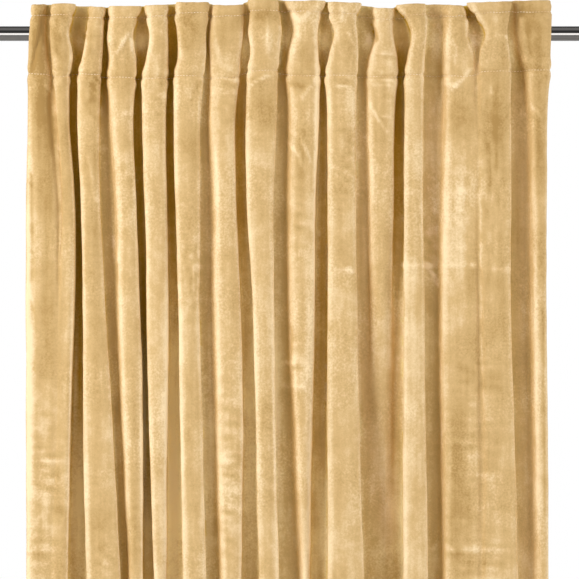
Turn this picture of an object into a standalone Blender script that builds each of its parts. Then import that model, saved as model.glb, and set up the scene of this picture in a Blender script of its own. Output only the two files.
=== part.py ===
"""A velvet curtain gathered on a round metal rod, which runs between the cloth and its heading tape.

Metres, +Z up. The origin is on the rod's axis at mid-length. +X runs along the rod, and -Y faces the room.
"""

from collections import namedtuple

import bmesh
import bpy
import numpy as np

MM = 0.001

# The cloth as cut and hemmed, and its thickness with the pile
CLOTH_WIDTH = 1.40
CLOTH_LENGTH = 2.40
CLOTH_THICKNESS = 0.0018
SIDE_HEM_THICKNESS = 0.0028
BOTTOM_HEM_THICKNESS = 0.0032
BOTTOM_HEM_HEIGHT = 0.080
SIDE_RETURN = 0.010
SIDE_HEM_COLUMNS = 2

# The rod
ROD_RADIUS = 0.011
ROD_LENGTH = 1.00
ROD_SIDES = 48
ROD_EDGE_BEVEL = 0.0008

# Heights of the heading, from the rod's axis
HEADER_TOP = 0.041
UPPER_ROW = 0.025
LOWER_ROW = -0.0645
TAPE_BEYOND_ROWS = 0.004
TAPE_THICKNESS = 0.001
TAPE_GAP = 0.0012

# Heights at which the next two tables give the folds' edges, up the drop and then up the heading
STATIONS = np.array([-0.815, -0.620, -0.400, -0.252, -0.102, LOWER_ROW, -0.036, -0.002, 0.018, 0.040])

# A row for each fold: its left and right edge at each of those heights, in mm
Drop = namedtuple("Drop", "foot low middle high tail")
DROP = [
    Drop((-394, -368), (-394, -357), (-395, -352), (-394, -353), (-392, -366)),
    Drop((-352, -334), (-345, -330), (-343, -325), (-340, -324), (-350, -333)),
    Drop((-304, -254), (-308, -265), (-310, -278), (-313, -286), (-318, -286)),
    Drop((-238, -221), (-246, -221), (-255, -226), (-258, -232), (-267, -236)),
    Drop((-203, -186), (-209, -185), (-214, -183), (-217, -185), (-220, -187)),
    Drop((-159, -127), (-163, -131), (-166, -136), (-170, -135), (-173, -132)),
    Drop((-100, -73), (-105, -72), (-110, -74), (-110, -82), (-117, -81)),
    Drop((-45, -17), (-49, -21), (-55, -25), (-64, -25), (-64, -19)),
    Drop((20, 30), (12, 32), (4, 37), (4, 38), (4, 43)),
    Drop((59, 111), (59, 105), (58, 100), (59, 99), (58, 99)),
    Drop((138, 149), (131, 150), (126, 152), (123, 155), (119, 157)),
    Drop((172, 207), (172, 204), (172, 202), (173, 199), (174, 200)),
    Drop((236, 281), (235, 282), (231, 279), (234, 277), (237, 275)),
    Drop((293, 341), (295, 338), (292, 331), (290, 332), (287, 331)),
    Drop((375, 388), (372, 387), (369, 385), (367, 386), (362, 388)),
]
Heading = namedtuple("Heading", "lower_row belly rod neck header")
HEADING = [
    Heading((-392, -364), (-391, -368), (-389, -371), (-387, -371), (-386, -370)),
    Heading((-353, -332), (-356, -327), (-358, -332), (-358, -329), (-356, -322)),
    Heading((-316, -285), (-310, -283), (-304, -281), (-301, -281), (-300, -278)),
    Heading((-270, -233), (-268, -232), (-271, -236), (-268, -232), (-269, -223)),
    Heading((-220, -185), (-214, -184), (-209, -184), (-212, -185), (-216, -184)),
    Heading((-171, -130), (-166, -126), (-167, -126), (-170, -124), (-169, -122)),
    Heading((-116, -77), (-118, -75), (-118, -71), (-115, -71), (-113, -71)),
    Heading((-62, -19), (-58, -16), (-61, -13), (-58, -16), (-61, -19)),
    Heading((0, 44), (2, 42), (11, 41), (8, 44), (-3, 52)),
    Heading((56, 100), (61, 102), (68, 100), (62, 98), (59, 106)),
    Heading((119, 160), (122, 160), (132, 154), (130, 153), (128, 155)),
    Heading((175, 200), (179, 202), (184, 205), (178, 205), (161, 203)),
    Heading((237, 275), (236, 277), (237, 266), (239, 266), (240, 260)),
    Heading((287, 331), (286, 329), (294, 325), (284, 328), (268, 332)),
    Heading((358, 391), (349, 391), (344, 392), (344, 392), (341, 391)),
]

# Heights at which the next table gives how far the folds stand out and the valley floors are raised
DEPTH_STATIONS = np.array([-0.815, -0.420, -0.150, LOWER_ROW, 0.040])

# A row for each fold, in mm: how far its front stands out at those heights; how far the floor of
# the valley to its right is raised there, below zero where it is a deep slot; how far the feet of
# its two side walls lie outside its edges, below zero where the wall is tucked under the fold; and
# how far its cloth is hitched up at the lower and the upper row of stitches.
Fold = namedtuple("Fold", "stands valley_raised left_foot right_foot hitch")
FOLDS = [
    Fold((28, 28, 27, 26, 23), (25, 25, 17, 15, 12), 0, 8, (3, -2)),
    Fold((28, 28, 28, 27, 24), (4, -20, -22, -5, 11), -4, -2, (-2, 1)),
    Fold((30, 29, 28, 26, 22), (13, 5, 0, -2, 8), -3, -1, (2, -3)),
    Fold((28, 29, 30, 29, 26), (5, -16, -20, -4, 14), 7, -3, (-3, -4)),
    Fold((28, 29, 30, 29, 26), (12, 3, -22, -8, 12), -3, 1, (-6, -2)),
    Fold((32, 32, 32, 31, 28), (11, 8, 6, 12, 18), -4, -4, (-1, 3)),
    Fold((28, 28, 28, 27, 26), (9, 6, -14, 10, 18), 8, 2, (-5, -2)),
    Fold((30, 31, 32, 31, 28), (5, 2, 0, 7, 14), -2, -4, (7, 7)),
    Fold((20, 26, 30, 29, 28), (6, -4, -9, 7, 15), 8, 2, (-1, 5)),
    Fold((34, 33, 32, 31, 28), (6, 6, 8, 9, 6), 1, -4, (-1, 2)),
    Fold((-2, 18, 28, 26, 22), (-4, 1, -20, -5, 13), 5, 3, (-3, -6)),
    Fold((32, 32, 32, 30, 26), (10, 6, 4, 0, 14), -4, -4, (0, 1)),
    Fold((30, 29, 28, 27, 24), (29, 25, 27, 23, 6), 8, 0, (-1, -2)),
    Fold((32, 31, 30, 29, 26), (16, 5, 0, 5, 15), 0, -4, (6, 5)),
    Fold((28, 28, 21, 20, 18), (0, 0, 0, 0, 0), 8, 0, (8, 6)),
]

# Heights of the mesh's rows down the panel, above the bottom hem's two
PANEL_ROWS = [HEADER_TOP, 0.033, UPPER_ROW, 0.016, 0.006, -0.004, -0.016, -0.036, LOWER_ROW]
PANEL_ROWS += [-0.082, -0.102, -0.150, -0.252, -0.370, -0.500, -0.640, -0.815, -1.15, -1.55, -1.95]

# Shape of a fold's section
SHOULDER_DROP = 0.004
SHOULDER_SHARE = 0.30
FOOT_SHARE = 0.12
WALL_SHARE = 0.55
FRONT_POINTS = (0.28, 0.72)
LEAST_NECK = 0.006
WIDEST_FOOT_SHARE = 0.38
DEEP_VALLEY = 0.014
MOST_DEEPENING = 1.6

# The stitches hold the walls straight, and below this height they are tucked under their folds
TUCKED_BELOW = -0.130

# Where the foremost fold has its front at each height, bulging forward over the rod
FRONT_HEIGHTS = np.array([-0.815, -0.150, LOWER_ROW, -0.040, -0.010, 0.004, 0.018, HEADER_TOP])
FRONT_Y = np.array([-46, -44, -44, -47, -56, -56, -52, -47]) * MM

# Below this height the cloth hangs true, so a fold's hitch has died out
HITCH_ENDS = -0.40

# The tape's path round the back of the rod: the share of the way from the cloth to the back,
# and the height, from its top edge down to its bottom edge
TAPE_PATH = [
    (0.0, UPPER_ROW + TAPE_BEYOND_ROWS),
    (0.0, UPPER_ROW),
    (0.22, 0.0205),
    (0.52, 0.0170),
    (0.85, 0.0125),
    (1.0, 0.0010),
    (0.88, -0.0160),
    (0.45, -0.0410),
    (0.0, LOWER_ROW),
    (0.0, LOWER_ROW - TAPE_BEYOND_ROWS),
]
TAPE_BACK = 0.015

# Away from the stitches the tape's own folds are rounder: in depth only near the cloth,
# and in width too past this share of the way back
ROUNDINGS = 3
ROUNDED_SHARE = 0.5

# Samples in each gap of a section, where its length is measured
SAMPLES = 6


def curve_through(knots, values, at):
    """Values read at the places given, on a smooth curve that passes through every knot."""
    slopes = np.gradient(values, knots, axis=0)
    left = np.clip(np.searchsorted(knots, at) - 1, 0, len(knots) - 2)
    span = knots[left + 1] - knots[left]
    t = np.clip((at - knots[left]) / span, 0.0, 1.0)
    if values.ndim > 1:
        span, t = span[:, None], t[:, None]
    start = (1 + 2 * t) * (1 - t) ** 2 * values[left] + t * (1 - t) ** 2 * span * slopes[left]
    end = t**2 * (3 - 2 * t) * values[left + 1] - t**2 * (1 - t) * span * slopes[left + 1]
    return start + end


def edges_at(z):
    """Left and right edges of the folds at one height; they hang straight below the lowest station."""
    rows = np.array([drop + heading for drop, heading in zip(DROP, HEADING)], float) * MM
    knots = rows.transpose(1, 0, 2).reshape(len(STATIONS), -1)
    edges = curve_through(STATIONS, knots, np.clip([z], STATIONS[0], STATIONS[-1]))
    return edges.reshape(len(FOLDS), 2).T


def depth_column(name, z):
    """A column that has a value at each depth station, read at one height."""
    rows = np.array([getattr(fold, name) for fold in FOLDS], float).T * MM
    return np.array([np.interp(z, DEPTH_STATIONS, heights) for heights in rows.T])


def wall_foot(foot, tuck, width, gap, depth):
    """How far a side wall's foot lies outside the fold's edge, for a fold and a valley this wide."""
    shallow = max(0.0, 1.0 - depth / DEEP_VALLEY)
    lean = foot if foot > 0 else foot * tuck
    tucked = max(lean * MM, min(0.0, LEAST_NECK - width) / 2)
    return min(tucked + shallow * WIDEST_FOOT_SHARE * gap, WIDEST_FOOT_SHARE * gap)


def walls(edge, foot, front, floor):
    """Shoulder, wall and foot of one side of a fold, from its front back to the valley's floor."""
    depth = floor - front
    shoulder = front + min(SHOULDER_DROP, SHOULDER_SHARE * depth)
    bottom = floor - FOOT_SHARE * depth
    return [(edge, shoulder), (edge + WALL_SHARE * foot, (shoulder + bottom) / 2), (edge + foot, bottom)]


def section(z, deepening):
    """Points (x, y) along the cloth at one height, y being how far a point lies behind the foremost front."""
    left, right = edges_at(z)
    front = -depth_column("stands", z) * deepening
    floor = -depth_column("valley_raised", z) * deepening
    width = right - left
    tuck = np.clip((LOWER_ROW - z) / (LOWER_ROW - TUCKED_BELOW), 0.0, 1.0)
    points = [(left[0] + SHOULDER_DROP / 2, front[0] + SIDE_RETURN), (left[0], front[0] + SHOULDER_DROP)]
    for k, fold in enumerate(FOLDS):
        points += [(left[k] + share * width[k], front[k]) for share in FRONT_POINTS]
        if fold is FOLDS[-1]:
            break
        beyond = FOLDS[k + 1]
        gap = left[k + 1] - right[k]
        bed = max(floor[k], front[k], front[k + 1])
        near = wall_foot(fold.right_foot, tuck, width[k], gap, bed - front[k])
        far = wall_foot(beyond.left_foot, tuck, width[k + 1], gap, bed - front[k + 1])
        points += walls(right[k], near, front[k], bed)
        points.append(((right[k] + near + left[k + 1] - far) / 2, bed))
        points += walls(left[k + 1], -far, front[k + 1], bed)[::-1]
    shoulder, back = front[-1] + SHOULDER_DROP, front[-1] + SIDE_RETURN
    points += [(right[-1], shoulder), (right[-1] - SHOULDER_DROP / 2, back)]
    points = np.array(points)
    points[:, 1] -= points[:, 1].min()
    return points


def smooth(points, samples):
    """A smooth curve through the points, with a number of samples in each gap."""
    knots = np.concatenate([[0.0], np.cumsum(np.linalg.norm(np.diff(points, axis=0), axis=1))])
    places = np.linspace(0, len(points) - 1, samples * (len(points) - 1) + 1)
    return curve_through(knots, points, np.interp(places, np.arange(len(points)), knots))


def length_of(points):
    return np.linalg.norm(np.diff(points, axis=0), axis=1).sum()


def gathered_section(z):
    """The section at one height whose own length is the width that the cloth was cut to."""
    shallow, deep = 0.3, MOST_DEEPENING
    for _ in range(30):
        deepening = (shallow + deep) / 2
        if length_of(smooth(section(z, deepening), SAMPLES)) < CLOTH_WIDTH:
            shallow = deepening
        else:
            deep = deepening
    return section(z, deepening)


def hitches(z, count):
    """How far each column of the cloth is hitched up at one height, smoothly from fold to fold."""
    middles = np.linspace(0, count - 1, len(FOLDS))
    hitch = np.array([fold.hitch for fold in FOLDS], float) * MM
    lower, upper = curve_through(middles, hitch, np.arange(count)).T
    lower_share = np.interp(z, [HITCH_ENDS, LOWER_ROW, UPPER_ROW], [0.0, 1.0, 0.0])
    return lower_share * lower + np.interp(z, [LOWER_ROW, UPPER_ROW], [0.0, 1.0]) * upper


def cloth_grid(rows):
    """The middle of the cloth: a point for each row and column of the panel's mesh."""
    sections = [gathered_section(z) for z in rows]
    grid = np.zeros((len(rows), len(sections[0]), 3))
    for row, z, points in zip(grid, rows, sections):
        row[:, 0] = points[:, 0]
        row[:, 2] = z + hitches(z, len(points))
        level = np.clip(row[:, 2], FRONT_HEIGHTS[0], FRONT_HEIGHTS[-1])
        row[:, 1] = points[:, 1] + curve_through(FRONT_HEIGHTS, FRONT_Y, level)
    return grid


def unit(vectors):
    return vectors / np.linalg.norm(vectors, axis=-1, keepdims=True)


def mean_steps(grid, axis):
    """Directions along one axis of a grid, each the mean of the steps on its two sides."""
    steps = unit(np.diff(grid, axis=axis))
    first, last = np.take(steps, [0], axis=axis), np.take(steps, [-1], axis=axis)
    return np.concatenate([first, steps], axis=axis) + np.concatenate([steps, last], axis=axis)


def backward(grid):
    """Unit vectors that point out of the back of a sheet whose rows run downwards."""
    return unit(np.cross(mean_steps(grid, 1), mean_steps(grid, 0)))


def add_object(name, mesh, material):
    obj = bpy.data.objects.new(name, mesh)
    obj.data.materials.append(material)
    bpy.context.scene.collection.objects.link(obj)
    return obj


def add_sheet(name, front, back, material):
    """A closed sheet between two grids of points, with its four edges walled."""
    rows, columns = front.shape[:2]
    bm = bmesh.new()
    sides = [[[bm.verts.new(p) for p in row] for row in grid] for grid in (front, back)]
    near, far = sides
    for i in range(rows - 1):
        for j in range(columns - 1):
            bm.faces.new((near[i][j], near[i + 1][j], near[i + 1][j + 1], near[i][j + 1]))
            bm.faces.new((far[i][j], far[i][j + 1], far[i + 1][j + 1], far[i + 1][j]))
        bm.faces.new((near[i][0], far[i][0], far[i + 1][0], near[i + 1][0]))
        bm.faces.new((near[i][-1], near[i + 1][-1], far[i + 1][-1], far[i][-1]))
    for j in range(columns - 1):
        bm.faces.new((near[0][j], near[0][j + 1], far[0][j + 1], far[0][j]))
        bm.faces.new((near[-1][j], far[-1][j], far[-1][j + 1], near[-1][j + 1]))
    mesh = bpy.data.meshes.new(name)
    bm.to_mesh(mesh)
    bm.free()
    mesh.shade_smooth()
    return add_object(name, mesh, material)


def panel_rows():
    """Heights of the panel's rows, from the header's edge to the bottom edge."""
    bottom = HEADER_TOP - CLOTH_LENGTH
    return PANEL_ROWS + [bottom + BOTTOM_HEM_HEIGHT, bottom]


def panel_thickness(grid):
    """The panel's thickness at each point of a grid, more along its side hems."""
    thickness = np.full(grid.shape[:2], CLOTH_THICKNESS)
    thickness[:, :SIDE_HEM_COLUMNS] = SIDE_HEM_THICKNESS
    thickness[:, -SIDE_HEM_COLUMNS:] = SIDE_HEM_THICKNESS
    return thickness


def add_panel(material):
    """The velvet panel, double along its bottom hem."""
    grid = cloth_grid(panel_rows())
    thickness = panel_thickness(grid)
    thickness[-2:] = BOTTOM_HEM_THICKNESS
    half = backward(grid) * thickness[:, :, None] / 2
    return add_sheet("velvet_panel", grid - half, grid + half, material)


def add_tape(material):
    """The heading tape: close to the cloth at both rows of stitches, behind the rod between them."""
    shares, heights = np.array(TAPE_PATH).T
    grid = cloth_grid(heights)
    grid += backward(grid) * (panel_thickness(grid)[:, :, None] / 2 + TAPE_GAP + TAPE_THICKNESS / 2)
    grid = grid[:, SIDE_HEM_COLUMNS:-SIDE_HEM_COLUMNS]
    for row, share, height in zip(grid, shares, heights):
        first = 0 if share > ROUNDED_SHARE else 1
        for _ in range(ROUNDINGS if share else 0):
            row[1:-1, first:] = (row[:-2, first:] + 2 * row[1:-1, first:] + row[2:, first:]) / 4
        row[:, 1] += share * (TAPE_BACK - row[:, 1].min())
        row[:, 2] -= share * (row[:, 2] - height)
    half = backward(grid) * TAPE_THICKNESS / 2
    return add_sheet("heading_tape", grid - half, grid + half, material)


def add_rod(material):
    """A plain round rod along X, with flat ends."""
    bm = bmesh.new()
    bmesh.ops.create_cone(
        bm, cap_ends=True, segments=ROD_SIDES, radius1=ROD_RADIUS, radius2=ROD_RADIUS, depth=ROD_LENGTH
    )
    rims = [edge for edge in bm.edges if abs(edge.verts[0].co.z - edge.verts[1].co.z) < ROD_RADIUS]
    bmesh.ops.bevel(bm, geom=rims, offset=ROD_EDGE_BEVEL, segments=1, affect="EDGES")
    mesh = bpy.data.meshes.new("rod")
    bm.to_mesh(mesh)
    bm.free()
    mesh.shade_smooth()
    mesh.set_sharp_from_angle(angle=0.6)
    rod = add_object("rod", mesh, material)
    rod.rotation_euler = (0.0, np.pi / 2, 0.0)
    return rod


def make_material(name, colour, roughness, metallic):
    material = bpy.data.materials.new(name)
    material.use_nodes = True
    shader = material.node_tree.nodes["Principled BSDF"]
    shader.inputs["Base Color"].default_value = (*colour, 1.0)
    shader.inputs["Roughness"].default_value = roughness
    shader.inputs["Metallic"].default_value = metallic
    return material


def clear_scene():
    for obj in list(bpy.data.objects):
        bpy.data.objects.remove(obj, do_unlink=True)


def main():
    clear_scene()
    velvet = make_material("velvet", (0.70, 0.47, 0.21), 0.85, 0.0)
    tape = make_material("tape", (0.80, 0.74, 0.62), 0.9, 0.0)
    metal = make_material("dark_metal", (0.20, 0.19, 0.18), 0.3, 1.0)
    add_panel(velvet)
    add_tape(tape)
    add_rod(metal)


main()
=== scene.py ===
"""Looks of a velvet curtain gathered on a round metal rod, dressed over its solids.

Metres, +Z up. The origin is on the rod's axis at mid-length. +X runs along the rod, and -Y faces the room.
"""

from collections import namedtuple

import bpy
import numpy as np
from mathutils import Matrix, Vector, noise


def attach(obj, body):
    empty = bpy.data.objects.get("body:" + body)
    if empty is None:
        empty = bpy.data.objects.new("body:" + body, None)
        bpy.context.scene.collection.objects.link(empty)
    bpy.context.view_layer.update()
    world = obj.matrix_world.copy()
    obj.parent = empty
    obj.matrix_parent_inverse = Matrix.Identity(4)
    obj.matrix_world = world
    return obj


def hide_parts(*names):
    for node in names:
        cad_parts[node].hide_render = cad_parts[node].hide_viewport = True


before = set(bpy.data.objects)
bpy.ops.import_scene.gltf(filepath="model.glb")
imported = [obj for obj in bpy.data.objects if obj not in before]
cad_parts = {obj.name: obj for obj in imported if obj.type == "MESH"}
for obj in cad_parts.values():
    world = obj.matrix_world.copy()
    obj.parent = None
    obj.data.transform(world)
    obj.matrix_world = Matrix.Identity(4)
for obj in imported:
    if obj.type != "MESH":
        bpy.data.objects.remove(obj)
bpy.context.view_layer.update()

MM = 0.001

# The cloth as cut and hemmed, and its thickness with the pile
CLOTH_WIDTH = 1.40
CLOTH_LENGTH = 2.40
CLOTH_THICKNESS = 0.0018
SIDE_HEM_THICKNESS = 0.0028
SIDE_HEM_WIDTH = 0.014
SIDE_HEM_EDGE = 0.001
BOTTOM_HEM_THICKNESS = 0.0032
BOTTOM_HEM_HEIGHT = 0.080
SIDE_RETURN = 0.010
SIDE_HEM_COLUMNS = 2

# Heights of the heading, from the rod's axis
HEADER_TOP = 0.041
UPPER_ROW = 0.025
LOWER_ROW = -0.0645
BOTTOM = HEADER_TOP - CLOTH_LENGTH
TAPE_BEYOND_ROWS = 0.004
TAPE_THICKNESS = 0.001
TAPE_GAP = 0.0012

# Heights at which the next two tables give the folds' edges, up the drop and then up the heading
STATIONS = np.array([-0.815, -0.620, -0.400, -0.252, -0.102, LOWER_ROW, -0.036, -0.002, 0.018, 0.040])

# A row for each fold: its left and right edge at each of those heights, in mm
DROP = [
    ((-394, -368), (-394, -357), (-395, -352), (-394, -353), (-392, -366)),
    ((-352, -334), (-345, -330), (-343, -325), (-340, -324), (-350, -333)),
    ((-304, -254), (-308, -265), (-310, -278), (-313, -286), (-318, -286)),
    ((-238, -221), (-246, -221), (-255, -226), (-258, -232), (-267, -236)),
    ((-203, -186), (-209, -185), (-214, -183), (-217, -185), (-220, -187)),
    ((-159, -127), (-163, -131), (-166, -136), (-170, -135), (-173, -132)),
    ((-100, -73), (-105, -72), (-110, -74), (-110, -82), (-117, -81)),
    ((-45, -17), (-49, -21), (-55, -25), (-64, -25), (-64, -19)),
    ((20, 30), (12, 32), (4, 37), (4, 38), (4, 43)),
    ((59, 111), (59, 105), (58, 100), (59, 99), (58, 99)),
    ((138, 149), (131, 150), (126, 152), (123, 155), (119, 157)),
    ((172, 207), (172, 204), (172, 202), (173, 199), (174, 200)),
    ((236, 281), (235, 282), (231, 279), (234, 277), (237, 275)),
    ((293, 341), (295, 338), (292, 331), (290, 332), (287, 331)),
    ((375, 388), (372, 387), (369, 385), (367, 386), (362, 388)),
]
HEADING = [
    ((-392, -364), (-391, -368), (-389, -371), (-387, -371), (-386, -370)),
    ((-353, -332), (-356, -327), (-358, -332), (-358, -329), (-356, -322)),
    ((-316, -285), (-310, -283), (-304, -281), (-301, -281), (-300, -278)),
    ((-270, -233), (-268, -232), (-271, -236), (-268, -232), (-269, -223)),
    ((-220, -185), (-214, -184), (-209, -184), (-212, -185), (-216, -184)),
    ((-171, -130), (-166, -126), (-167, -126), (-170, -124), (-169, -122)),
    ((-116, -77), (-118, -75), (-118, -71), (-115, -71), (-113, -71)),
    ((-62, -19), (-58, -16), (-61, -13), (-58, -16), (-61, -19)),
    ((0, 44), (2, 42), (11, 41), (8, 44), (-3, 52)),
    ((56, 100), (61, 102), (68, 100), (62, 98), (59, 106)),
    ((119, 160), (122, 160), (132, 154), (130, 153), (128, 155)),
    ((175, 200), (179, 202), (184, 205), (178, 205), (161, 203)),
    ((237, 275), (236, 277), (237, 266), (239, 266), (240, 260)),
    ((287, 331), (286, 329), (294, 325), (284, 328), (268, 332)),
    ((358, 391), (349, 391), (344, 392), (344, 392), (341, 391)),
]

# Heights at which the next table gives how far the folds stand out and the valley floors are raised
DEPTH_STATIONS = np.array([-0.815, -0.420, -0.150, LOWER_ROW, 0.040])

# A row for each fold, in mm: how far its front stands out at those heights; how far the floor of
# the valley to its right is raised there, below zero where it is a deep slot; how far the feet of
# its two side walls lie outside its edges, below zero where the wall is tucked under the fold; and
# how far its cloth is hitched up at the lower and the upper row of stitches.
Fold = namedtuple("Fold", "stands valley_raised left_foot right_foot hitch")
FOLDS = [
    Fold((28, 28, 27, 26, 23), (27, 27, 17, 15, 12), 0, 8, (3, -2)),
    Fold((28, 28, 28, 27, 24), (8, -18, -22, -5, 11), -4, -2, (-2, 1)),
    Fold((30, 29, 28, 26, 22), (13, 5, 0, -2, 8), -3, -1, (2, -3)),
    Fold((28, 29, 30, 29, 26), (5, -16, -20, -4, 14), 7, -3, (-3, -4)),
    Fold((28, 29, 30, 29, 26), (12, 3, -22, -8, 12), -3, 1, (-6, -2)),
    Fold((32, 32, 32, 31, 28), (11, 8, 6, 12, 18), -4, -4, (-1, 3)),
    Fold((28, 28, 28, 27, 26), (9, 6, -14, 10, 18), 8, 2, (-5, -2)),
    Fold((30, 31, 32, 31, 28), (5, 2, 0, 7, 14), -2, -4, (7, 7)),
    Fold((20, 26, 30, 29, 28), (6, -4, -9, 7, 15), 8, 2, (-1, 5)),
    Fold((34, 33, 32, 31, 28), (6, 6, 8, 9, 6), 1, -4, (-1, 2)),
    Fold((-2, 18, 28, 26, 22), (-4, 8, -20, -5, 13), 5, 3, (-3, -6)),
    Fold((32, 32, 32, 30, 26), (10, 6, 4, 0, 14), -4, -4, (0, 1)),
    Fold((30, 29, 28, 27, 24), (29, 25, 27, 23, 6), 8, 0, (-1, -2)),
    Fold((32, 31, 30, 29, 26), (16, 5, 0, 5, 15), 0, -4, (6, 5)),
    Fold((28, 28, 21, 20, 18), (0, 0, 0, 0, 0), 8, 0, (8, 6)),
]

# Shape of a fold's section, in metres and in shares of a fold's depth or of a valley's width
SHOULDER_DROP = 0.004
SHOULDER_SHARE = 0.30
FOOT_SHARE = 0.12
WALL_SHARE = 0.55
FRONT_POINTS = (0.28, 0.72)
LEAST_NECK = 0.006
WIDEST_FOOT_SHARE = 0.38
DEEP_VALLEY = 0.014

# A section's depths are scaled between these limits, in so many halvings, until it is as long as
# the cloth is wide
LEAST_DEEPENING = 0.3
MOST_DEEPENING = 1.6
HALVINGS = 22

# The stitches hold the walls straight, and below this height they are tucked under their folds
TUCKED_BELOW = -0.130

# Where the foremost fold has its front at each height, bulging forward over the rod
FRONT_HEIGHTS = np.array([-0.815, -0.150, LOWER_ROW, -0.040, -0.010, 0.004, 0.018, HEADER_TOP])
FRONT_Y = np.array([-46, -44, -44, -47, -56, -56, -52, -47]) * MM

# Below this height the cloth hangs true, so a fold's hitch has died out
HITCH_ENDS = -0.40

# The tape's path round the back of the rod: the share of the way from the cloth to the back,
# and the height, from its top edge down to its bottom edge
TAPE_PATH = [
    (0.0, UPPER_ROW + TAPE_BEYOND_ROWS),
    (0.0, UPPER_ROW),
    (0.22, 0.0205),
    (0.52, 0.0170),
    (0.85, 0.0125),
    (1.0, 0.0010),
    (0.88, -0.0160),
    (0.45, -0.0410),
    (0.0, LOWER_ROW),
    (0.0, LOWER_ROW - TAPE_BEYOND_ROWS),
]
TAPE_BACK = 0.015

# Away from the stitches the tape's own folds are rounder: in depth only near the cloth,
# and in width too past this share of the way back
ROUNDINGS = 3
ROUNDED_SHARE = 0.5

# Samples in each gap between a section's points: where its length is measured, and where the cloth
# is meshed, in the nine gaps from one fold's left edge to the next one's and at the cloth's sides
SAMPLES = 6
FOLD_GAPS = [3, 6, 3, 2, 2, 2, 2, 2, 2]
SIDE_GAP = 3

# Steps between the cloth's rows, (down to this height, step), fine as far as this from the stitches
FINE_REACH = 0.0045
ROW_STEPS = [
    (UPPER_ROW + FINE_REACH, 0.0029),
    (UPPER_ROW - FINE_REACH, 0.0011),
    (LOWER_ROW + FINE_REACH, 0.0031),
    (LOWER_ROW - FINE_REACH, 0.0011),
    (-0.140, 0.0040),
    (-0.840, 0.0070),
    (BOTTOM + BOTTOM_HEM_HEIGHT, 0.160),
    (BOTTOM, 0.020),
]
# The cloth's back has only every second row of its front
BACK_STEP = 2

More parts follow.
